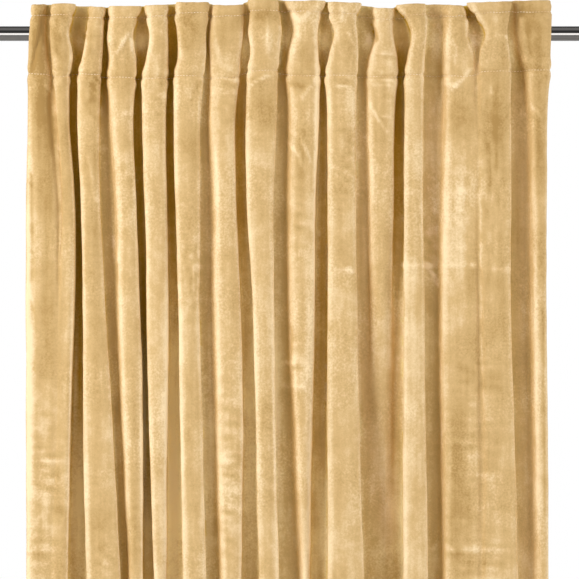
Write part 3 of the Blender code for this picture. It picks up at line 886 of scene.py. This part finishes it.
def panel_thickness(along, heights):
    """The panel's thickness: double cloth in the side hems and in the bottom hem."""
    side = np.minimum(along, along[:, -1:] - along)
    share = 1.0 - soft_step(side, SIDE_HEM_WIDTH - SIDE_HEM_EDGE, SIDE_HEM_WIDTH + SIDE_HEM_EDGE)
    thickness = CLOTH_THICKNESS + share * (SIDE_HEM_THICKNESS - CLOTH_THICKNESS)
    thickness[heights <= HEM_ROW] = BOTTOM_HEM_THICKNESS
    return thickness


def painted_shade(grid):
    """How much painted shade each point of the cloth gets, from how far the folds to its left and right
    shut it in.
    """
    filled = np.zeros(grid.shape[:2])
    for i, row in enumerate(grid):
        across = row[None, :, 0] - row[:, None, 0]
        ahead = np.maximum(row[:, None, 1] - row[None, :, 1], 0.0)
        angle = np.arctan2(ahead, np.abs(across) + MM)
        left = np.where(across < 0, angle, 0.0).max(axis=1)
        right = np.where(across > 0, angle, 0.0).max(axis=1)
        filled[i] = left + right
    return soft_step(filled, *PAINTED_SHADE_ANGLES)


def add_attribute(sheet, name, values):
    """Values for the points of a sheet's front, its first points, and nothing for the others."""
    every = np.zeros(len(sheet.data.vertices))
    every[: values.size] = values.ravel()
    sheet.data.attributes.new(name, "FLOAT", "POINT").data.foreach_set("value", every)


def add_panel(materials):
    """The velvet panel, finer than its solid and on the same folds, and the lines of its stitches."""
    heights = row_heights()
    grid = cloth_grid(heights, mesh_places())
    along = flat_places(grid)
    grid[:, :, 2] += wavered(along, heights)
    height, tone = relief(grid, along, heights)
    grid -= backward(grid) * height[:, :, None]
    thickness = panel_thickness(along, heights)
    panel = add_sheet("velvet_cloth", grid, thickness, materials, BACK_STEP)
    # The pile attribute: tone of patches of pile, with painted highlights and shade on creases, ripples,
    # fold edges and bulges
    add_attribute(panel, "pile", tone)
    # Painted shade in the valleys and slots, from how far the folds shut the cloth in, less where the tone
    # is lighter
    shade_amount = painted_shade(grid) - PAINTED_SHADE_LIGHTER_CUT * np.maximum(tone, 0.0)
    add_attribute(panel, "painted_shade", np.maximum(shade_amount, 0.0))
    normals = -backward(grid)
    surface = grid + normals * thickness[:, :, None] / 2
    rows = [np.abs(heights - row).argmin() for row in (UPPER_ROW, LOWER_ROW, HEM_ROW)]
    return panel, [(surface[row], normals[row]) for row in rows]


def read_along(run, values, at):
    """Values, one for each point of a line, read at these distances along it."""
    return np.stack([np.interp(at, run, column) for column in values.T], axis=-1)


def add_stitches(lines, material):
    """Short threads a pitch apart along each line, each dipping into the cloth at its two ends."""
    steps, radii, lifts = np.array(STITCH_RINGS).T
    steps = steps * STITCH_LENGTH
    radii = radii * THREAD_RADIUS
    lifts = lifts * THREAD_RADIUS + STITCH_LIFT
    turns = np.arange(STITCH_SIDES) / STITCH_SIDES * 2 * np.pi
    rings = []
    for points, normals in lines:
        run = distances(points)
        middles = np.arange(STITCH_PITCH, run[-1] - STITCH_PITCH / 2, STITCH_PITCH)
        half = STITCH_LENGTH / 2
        ahead = unit(read_along(run, points, middles + half) - read_along(run, points, middles - half))
        out = unit(read_along(run, normals, middles))
        side = unit(np.cross(ahead, out))
        ahead = unit(ahead + side * (STITCH_SLANT * np.sin(middles * SLANT_TURNS))[:, None])
        centres = read_along(run, points, middles)[:, None] + ahead[:, None] * steps[:, None]
        centres = centres + out[:, None] * lifts[:, None]
        around = out[:, None] * np.cos(turns)[:, None] + side[:, None] * np.sin(turns)[:, None]
        rings.append(centres[:, :, None] + around[:, None] * radii[:, None, None])
    rings = np.concatenate(rings)
    indices = np.arange(rings[..., 0].size).reshape(rings.shape[:3])
    faces = []
    for stitch in indices:
        for first, second in zip(stitch, stitch[1:]):
            faces += band(first, second)
        faces += [stitch[0][::-1].tolist(), stitch[-1].tolist()]
    mesh = bpy.data.meshes.new("stitches")
    mesh.from_pydata(rings.reshape(-1, 3), [], faces)
    mesh.shade_smooth()
    return add_object("stitches", mesh, [material])


def tape_grid():
    """The tape's middle: against the cloth's back at both rows of stitches, behind the rod between."""
    shares, heights = np.array(TAPE_PATH).T
    grid = cloth_grid(heights)
    thickness = np.full(grid.shape[:2], CLOTH_THICKNESS)
    thickness[:, :SIDE_HEM_COLUMNS] = SIDE_HEM_THICKNESS
    thickness[:, -SIDE_HEM_COLUMNS:] = SIDE_HEM_THICKNESS
    grid += backward(grid) * (thickness[:, :, None] / 2 + TAPE_GAP + TAPE_THICKNESS / 2)
    grid = grid[:, SIDE_HEM_COLUMNS:-SIDE_HEM_COLUMNS]
    for row, share, height in zip(grid, shares, heights):
        first = 0 if share > ROUNDED_SHARE else 1
        for _ in range(ROUNDINGS if share else 0):
            row[1:-1, first:] = (row[:-2, first:] + 2 * row[1:-1, first:] + row[2:, first:]) / 4
        row[:, 1] += share * (TAPE_BACK - row[:, 1].min())
        row[:, 2] -= share * (row[:, 2] - height)
    return grid


def add_tape(materials):
    grid = tape_grid()
    return add_sheet("woven_tape", grid, np.full(grid.shape[:2], TAPE_THICKNESS), materials)


def add_node(tree, kind, **settings):
    made = tree.nodes.new(kind)
    for name, value in settings.items():
        setattr(made, name, value)
    return made


def noise_value(tree, scale, detail=2.0, stretch=(1.0, 1.0, 1.0)):
    """A socket with noise about one half, fixed to the object, with this many grains in a metre."""
    place = add_node(tree, "ShaderNodeTexCoord")
    mapping = add_node(tree, "ShaderNodeMapping")
    mapping.inputs["Scale"].default_value = stretch
    texture = add_node(tree, "ShaderNodeTexNoise")
    texture.inputs["Scale"].default_value = scale
    texture.inputs["Detail"].default_value = detail
    tree.links.new(place.outputs["Object"], mapping.inputs["Vector"])
    tree.links.new(mapping.outputs["Vector"], texture.inputs["Vector"])
    return texture.outputs["Fac"]


def between(tree, value, low, high):
    """A socket that goes smoothly from 0 to 1 as a value goes from low to high."""
    made = add_node(tree, "ShaderNodeMapRange", interpolation_type="SMOOTHSTEP")
    made.inputs["From Min"].default_value = low
    made.inputs["From Max"].default_value = high
    tree.links.new(value, made.inputs["Value"])
    return made.outputs["Result"]


def product(tree, first, second):
    made = add_node(tree, "ShaderNodeMath", operation="MULTIPLY")
    tree.links.new(first, made.inputs[0])
    tree.links.new(second, made.inputs[1])
    return made.outputs["Value"]


def attribute_value(tree, name):
    return add_node(tree, "ShaderNodeAttribute", attribute_name=name).outputs["Fac"]


def weighted(tree, start, terms):
    """A socket with the start plus each value times its weight, a value being (socket, its middle)."""
    total = start - sum(middle * weight for _, middle, weight in terms)
    for socket, _, weight in terms:
        step = add_node(tree, "ShaderNodeMath", operation="MULTIPLY_ADD")
        tree.links.new(socket, step.inputs[0])
        step.inputs[1].default_value = weight
        if isinstance(total, float):
            step.inputs[2].default_value = total
        else:
            tree.links.new(total, step.inputs[2])
        total = step.outputs["Value"]
    return total


def ramp(tree, value, stops):
    """A socket with the colour that a value has between the stops, (place, colour)."""
    made = add_node(tree, "ShaderNodeValToRGB")
    points = made.color_ramp.elements
    while len(points) < len(stops):
        points.new(0.5)
    for point, (place, colour) in zip(points, stops):
        point.position = place
        point.color = (*colour, 1.0)
    tree.links.new(value, made.inputs["Fac"])
    return made.outputs["Color"]


def add_bump(tree, shader, height, depth, strength):
    bump = add_node(tree, "ShaderNodeBump")
    bump.inputs["Distance"].default_value = depth
    bump.inputs["Strength"].default_value = strength
    tree.links.new(height, bump.inputs["Height"])
    tree.links.new(bump.outputs["Normal"], shader.inputs["Normal"])


def new_material(name, roughness, metallic=0.0, specular=0.5):
    material = bpy.data.materials.new(name)
    material.use_nodes = True
    shader = material.node_tree.nodes["Principled BSDF"]
    shader.inputs["Roughness"].default_value = roughness
    shader.inputs["Metallic"].default_value = metallic
    shader.inputs["Specular IOR Level"].default_value = specular
    return material, material.node_tree, shader


def velvet_material():
    """Golden velvet: pile that lies in patches, with painted highlights and shade, and darker painted
    shade where the folds shut it in.
    """
    material, tree, shader = new_material("velvet", 0.85, specular=0.06)
    values = {name: (noise_value(tree, *grain), 0.5) for name, grain in GRAINS.items()}
    crushed = between(tree, noise_value(tree, *CRUSHED), *CRUSHED_LIMITS)
    specks = weighted(tree, 0.0, [(*values["specks"], 1.0)])
    values["crushed"] = (product(tree, specks, crushed), 0.0)
    # The pile attribute carries painted highlights and shade as well as patches of pile
    values["patches_and_painted_light"] = (attribute_value(tree, "pile"), 0.0)
    tone = weighted(tree, 0.5, [(*values[name], weight) for name, weight in PILE_TONE])
    shade_share = attribute_value(tree, "painted_shade")
    colour = ramp(tree, tone, FRONT_COLOURS)
    # Painted shade: darker, richer colours mixed in where the folds shut the cloth in
    for stops, (low, high) in ((VALLEY_SHADE_COLOURS, VALLEY_SHADE_LIMITS), (SLOT_SHADE_COLOURS, SLOT_SHADE_LIMITS)):
        mix = add_node(tree, "ShaderNodeMix", data_type="RGBA")
        tree.links.new(between(tree, shade_share, low, high), mix.inputs[0])
        tree.links.new(colour, mix.inputs[6])
        tree.links.new(ramp(tree, tone, stops), mix.inputs[7])
        colour = mix.outputs[2]
    tree.links.new(colour, shader.inputs["Base Color"])
    bumps = weighted(tree, 0.5, [(*values[name], weight) for name, weight in PILE_BUMPS])
    add_bump(tree, shader, bumps, PILE_BUMP_DEPTH, 0.5)
    shader.inputs["Sheen Weight"].default_value = 0.5
    shader.inputs["Sheen Roughness"].default_value = 0.30
    shader.inputs["Sheen Tint"].default_value = SHEEN_TINT
    return material


def woven_material(name, dark, light, scale, depth):
    """A plain weave: threads that cross in a fine grid, with a little unevenness."""
    material, tree, shader = new_material(name, 0.9, specular=0.2)
    place = add_node(tree, "ShaderNodeTexCoord")
    waves = []
    for direction in ("X", "Z"):
        wave = add_node(tree, "ShaderNodeTexWave", wave_type="BANDS", bands_direction=direction)
        wave.inputs["Scale"].default_value = scale
        wave.inputs["Distortion"].default_value = 0.6
        tree.links.new(place.outputs["Object"], wave.inputs["Vector"])
        waves.append((wave.outputs["Fac"], 0.5, 0.35))
    uneven = (noise_value(tree, 40, 3.0), 0.5, 0.5)
    tone = weighted(tree, 0.5, waves + [uneven])
    colour = ramp(tree, tone, [(0.0, dark), (1.0, light)])
    tree.links.new(colour, shader.inputs["Base Color"])
    add_bump(tree, shader, weighted(tree, 0.5, waves), depth, 0.6)
    return material


def thread_material():
    material, tree, shader = new_material("thread", 0.6)
    sunk, twist = noise_value(tree, 55, 1.0), noise_value(tree, 1500, 1.0)
    tone = weighted(tree, 0.5, [(sunk, 0.5, 1.6), (twist, 0.5, 0.5)])
    tree.links.new(ramp(tree, tone, THREAD_COLOURS), shader.inputs["Base Color"])
    return material


def metal_material():
    """Dark polished metal, very finely drawn along the rod."""
    material, tree, shader = new_material("dark_metal", METAL_ROUGHNESS, metallic=1.0)
    drawn = noise_value(tree, 400, 2.0, (0.02, 1.0, 1.0))
    tree.links.new(ramp(tree, drawn, METAL_COLOURS), shader.inputs["Base Color"])
    roughness = weighted(tree, METAL_ROUGHNESS, [(drawn, 0.5, 0.06)])
    tree.links.new(roughness, shader.inputs["Roughness"])
    return material


def floor_material():
    material, tree, shader = new_material("pale_floor", 0.7, specular=0.3)
    cloudy = noise_value(tree, 1.5, 3.0)
    tree.links.new(ramp(tree, cloudy, FLOOR_COLOURS), shader.inputs["Base Color"])
    return material


def add_softbox(box):
    """A soft rectangular light that the camera doesn't see."""
    data = bpy.data.lights.new(box.name, "AREA")
    data.shape = "RECTANGLE"
    data.size, data.size_y = box.size
    data.energy = box.watts
    bearing, up = np.radians([box.bearing, box.up])
    away = Vector((np.sin(bearing) * np.cos(up), -np.cos(bearing) * np.cos(up), np.sin(up)))
    light = add_object(box.name, data)
    light.location = Vector(AIM) + away * box.distance
    light.rotation_euler = (-away).to_track_quat("-Z", "Y").to_euler()
    light.visible_camera = False
    return light


def add_lights():
    for box in SOFTBOXES:
        add_softbox(box)
    add_softbox(ROD_LINE).visible_diffuse = False


def set_world():
    """White to the camera, a soft light to the cloth, and dim in the rod's mirror."""
    world = bpy.data.worlds.new("studio")
    bpy.context.scene.world = world
    world.use_nodes = True
    tree = world.node_tree
    tree.nodes.clear()
    path = add_node(tree, "ShaderNodeLightPath")
    seen, mirrored = path.outputs["Is Camera Ray"], path.outputs["Is Glossy Ray"]
    changes = [(seen, 0.0, 1.0 - AMBIENT), (mirrored, 0.0, MIRRORED_ROOM - AMBIENT)]
    strength = weighted(tree, AMBIENT, changes)
    background = add_node(tree, "ShaderNodeBackground")
    background.inputs["Color"].default_value = (1.0, 1.0, 1.0, 1.0)
    out = add_node(tree, "ShaderNodeOutputWorld")
    tree.links.new(strength, background.inputs["Strength"])
    tree.links.new(background.outputs["Background"], out.inputs["Surface"])


def add_floor():
    mesh = bpy.data.meshes.new("floor")
    side, z = FLOOR_SIDE / 2, BOTTOM - FLOOR_GAP
    corners = [(-side, -side, z), (side, -side, z), (side, side, z), (-side, side, z)]
    mesh.from_pydata(corners, [], [(0, 1, 2, 3)])
    add_object("floor", mesh, [floor_material()])


def add_camera():
    data = bpy.data.cameras.new("camera")
    data.sensor_width = SENSOR_WIDTH_MM
    data.lens = SENSOR_WIDTH_MM * (CAMERA_DISTANCE + FOLD_FRONT_Y) / SEEN_WIDTH
    data.clip_end = FARTHEST_SEEN
    camera = add_object("camera", data)
    camera.location = (0.0, -CAMERA_DISTANCE, SEEN_CENTRE_Z)
    camera.rotation_euler = (np.pi / 2, 0.0, 0.0)
    bpy.context.scene.camera = camera


def dress():
    back = woven_material("velvet_back", *BACK_WEAVE)
    cloth, lines = add_panel([velvet_material(), back])
    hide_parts("velvet_panel")
    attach(cloth, "root")
    stitches = add_stitches(lines, thread_material())
    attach(stitches, "root")
    strip = add_tape([woven_material("woven_tape", *TAPE_WEAVE)])
    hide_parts("heading_tape")
    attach(strip, "root")
    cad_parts["rod"].data.materials[0] = metal_material()


dress()
add_lights()
set_world()
add_floor()
add_camera()
bpy.context.scene.view_settings.view_transform = "Standard"
